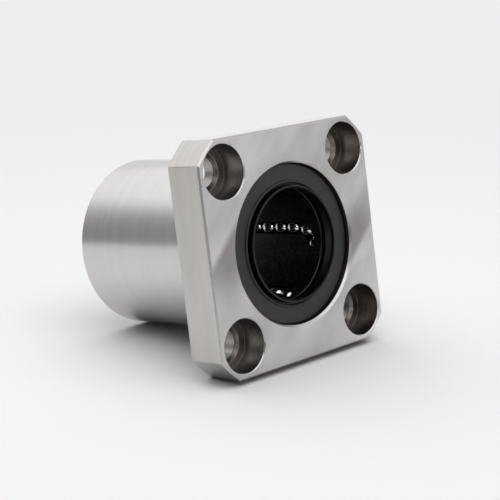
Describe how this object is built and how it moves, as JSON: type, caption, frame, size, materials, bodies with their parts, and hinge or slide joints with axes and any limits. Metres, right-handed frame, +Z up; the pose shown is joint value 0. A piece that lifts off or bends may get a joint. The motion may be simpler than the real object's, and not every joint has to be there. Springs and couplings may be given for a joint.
{
  "type": "flanged linear bearing",
  "caption": "Square-flanged linear ball bearing: ground steel sleeve with counterbored flange, plastic ball cage, recirculating ball circuits and rubber end seals.",
  "frame": {"origin": "centre of the bore on the flange's mounting face, the face the barrel stands on", "axes": "+Y along the bore from the counterbored flange face towards the barrel's end; +Z up, square to a flat side of the flange; +X to the right, seen from the front"},
  "size_m": [0.042, 0.042, 0.042],
  "materials": {
    "sleeve_steel": "ground",
    "ball_steel": "polished",
    "cage_plastic": "moulded",
    "seal_rubber": "satin"
  },
  "bodies": {
    "bearing_body": {"flanged_sleeve": "sleeve_steel", "ball_cage": "cage_plastic", "front_seal": "seal_rubber", "rear_seal": "seal_rubber"},
    "loaded_balls_1": {"loaded_balls_1": "ball_steel"},
    "rear_turn_balls_1": {"rear_turn_balls_1": "ball_steel"},
    "return_balls_1": {"return_balls_1": "ball_steel"},
    "front_turn_balls_1": {"front_turn_balls_1": "ball_steel"},
    "loaded_balls_2": {"loaded_balls_2": "ball_steel"},
    "rear_turn_balls_2": {"rear_turn_balls_2": "ball_steel"},
    "return_balls_2": {"return_balls_2": "ball_steel"},
    "front_turn_balls_2": {"front_turn_balls_2": "ball_steel"},
    "loaded_balls_3": {"loaded_balls_3": "ball_steel"},
    "rear_turn_balls_3": {"rear_turn_balls_3": "ball_steel"},
    "return_balls_3": {"return_balls_3": "ball_steel"},
    "front_turn_balls_3": {"front_turn_balls_3": "ball_steel"},
    "loaded_balls_4": {"loaded_balls_4": "ball_steel"},
    "rear_turn_balls_4": {"rear_turn_balls_4": "ball_steel"},
    "return_balls_4": {"return_balls_4": "ball_steel"},
    "front_turn_balls_4": {"front_turn_balls_4": "ball_steel"},
    "loaded_balls_5": {"loaded_balls_5": "ball_steel"},
    "rear_turn_balls_5": {"rear_turn_balls_5": "ball_steel"},
    "return_balls_5": {"return_balls_5": "ball_steel"},
    "front_turn_balls_5": {"front_turn_balls_5": "ball_steel"}
  },
  "joints": [
    {"name": "loaded_row_slide_1", "type": "slide", "parent": "bearing_body", "child": "loaded_balls_1", "axis": [0, 1, 0], "range_m": [-0.00168, 0.00168]},
    {"name": "rear_turn_roll_1", "type": "hinge", "parent": "bearing_body", "child": "rear_turn_balls_1", "pos_m": [0.01142, 0.02475, -0.00219], "axis": [-0.9937, 0.1045, 0.0412], "range_deg": [-30.05, 30.05]},
    {"name": "return_row_slide_1", "type": "slide", "parent": "bearing_body", "child": "return_balls_1", "axis": [0, -1, 0], "range_m": [-0.00168, 0.00168]},
    {"name": "front_turn_roll_1", "type": "hinge", "parent": "bearing_body", "child": "front_turn_balls_1", "pos_m": [0.01142, 0.00125, -0.00219], "axis": [-0.9937, -0.1045, 0.0412], "range_deg": [-30.05, 30.05]},
    {"name": "loaded_row_slide_2", "type": "slide", "parent": "bearing_body", "child": "loaded_balls_2", "axis": [0, 1, 0], "range_m": [-0.00168, 0.00168]},
    {"name": "rear_turn_roll_2", "type": "hinge", "parent": "bearing_body", "child": "rear_turn_balls_2", "pos_m": [0.00145, 0.02475, -0.01154], "axis": [-0.2679, 0.1045, 0.9578], "range_deg": [-30.05, 30.05]},
    {"name": "return_row_slide_2", "type": "slide", "parent": "bearing_body", "child": "return_balls_2", "axis": [0, -1, 0], "range_m": [-0.00168, 0.00168]},
    {"name": "front_turn_roll_2", "type": "hinge", "parent": "bearing_body", "child": "front_turn_balls_2", "pos_m": [0.00145, 0.00125, -0.01154], "axis": [-0.2679, -0.1045, 0.9578], "range_deg": [-30.05, 30.05]},
    {"name": "loaded_row_slide_3", "type": "slide", "parent": "bearing_body", "child": "loaded_balls_3", "axis": [0, 1, 0], "range_m": [-0.00168, 0.00168]},
    {"name": "rear_turn_roll_3", "type": "hinge", "parent": "bearing_body", "child": "rear_turn_balls_3", "pos_m": [-0.01053, 0.02475, -0.00494], "axis": [0.8281, 0.1045, 0.5507], "range_deg": [-30.05, 30.05]},
    {"name": "return_row_slide_3", "type": "slide", "parent": "bearing_body", "child": "return_balls_3", "axis": [0, -1, 0], "range_m": [-0.00168, 0.00168]},
    {"name": "front_turn_roll_3", "type": "hinge", "parent": "bearing_body", "child": "front_turn_balls_3", "pos_m": [-0.01053, 0.00125, -0.00494], "axis": [0.8281, -0.1045, 0.5507], "range_deg": [-30.05, 30.05]},
    {"name": "loaded_row_slide_4", "type": "slide", "parent": "bearing_body", "child": "loaded_balls_4", "axis": [0, 1, 0], "range_m": [-0.00168, 0.00168]},
    {"name": "rear_turn_roll_4", "type": "hinge", "parent": "bearing_body", "child": "rear_turn_balls_4", "pos_m": [-0.00795, 0.02475, 0.00849], "axis": [0.7797, 0.1045, -0.6174], "range_deg": [-30.05, 30.05]},
    {"name": "return_row_slide_4", "type": "slide", "parent": "bearing_body", "child": "return_balls_4", "axis": [0, -1, 0], "range_m": [-0.00168, 0.00168]},
    {"name": "front_turn_roll_4", "type": "hinge", "parent": "bearing_body", "child": "front_turn_balls_4", "pos_m": [-0.00795, 0.00125, 0.00849], "axis": [0.7797, -0.1045, -0.6174], "range_deg": [-30.05, 30.05]},
    {"name": "loaded_row_slide_5", "type": "slide", "parent": "bearing_body", "child": "loaded_balls_5", "axis": [0, 1, 0], "range_m": [-0.00168, 0.00168]},
    {"name": "rear_turn_roll_5", "type": "hinge", "parent": "bearing_body", "child": "rear_turn_balls_5", "pos_m": [0.00561, 0.02475, 0.01019], "axis": [-0.3462, 0.1045, -0.9323], "range_deg": [-30.05, 30.05]},
    {"name": "return_row_slide_5", "type": "slide", "parent": "bearing_body", "child": "return_balls_5", "axis": [0, -1, 0], "range_m": [-0.00168, 0.00168]},
    {"name": "front_turn_roll_5", "type": "hinge", "parent": "bearing_body", "child": "front_turn_balls_5", "pos_m": [0.00561, 0.00125, 0.01019], "axis": [-0.3462, -0.1045, -0.9323], "range_deg": [-30.05, 30.05]}
  ],
  "couplings": [
    {"joint": "rear_turn_roll_1", "follows": "loaded_row_slide_1", "rad_per_m": 312.01},
    {"joint": "return_row_slide_1", "follows": "loaded_row_slide_1", "ratio": 1},
    {"joint": "front_turn_roll_1", "follows": "loaded_row_slide_1", "rad_per_m": 312.01},
    {"joint": "rear_turn_roll_2", "follows": "loaded_row_slide_2", "rad_per_m": 312.01},
    {"joint": "return_row_slide_2", "follows": "loaded_row_slide_2", "ratio": 1},
    {"joint": "front_turn_roll_2", "follows": "loaded_row_slide_2", "rad_per_m": 312.01},
    {"joint": "rear_turn_roll_3", "follows": "loaded_row_slide_3", "rad_per_m": 312.01},
    {"joint": "return_row_slide_3", "follows": "loaded_row_slide_3", "ratio": 1},
    {"joint": "front_turn_roll_3", "follows": "loaded_row_slide_3", "rad_per_m": 312.01},
    {"joint": "rear_turn_roll_4", "follows": "loaded_row_slide_4", "rad_per_m": 312.01},
    {"joint": "return_row_slide_4", "follows": "loaded_row_slide_4", "ratio": 1},
    {"joint": "front_turn_roll_4", "follows": "loaded_row_slide_4", "rad_per_m": 312.01},
    {"joint": "rear_turn_roll_5", "follows": "loaded_row_slide_5", "rad_per_m": 312.01},
    {"joint": "return_row_slide_5", "follows": "loaded_row_slide_5", "ratio": 1},
    {"joint": "front_turn_roll_5", "follows": "loaded_row_slide_5", "rad_per_m": 312.01}
  ]
}
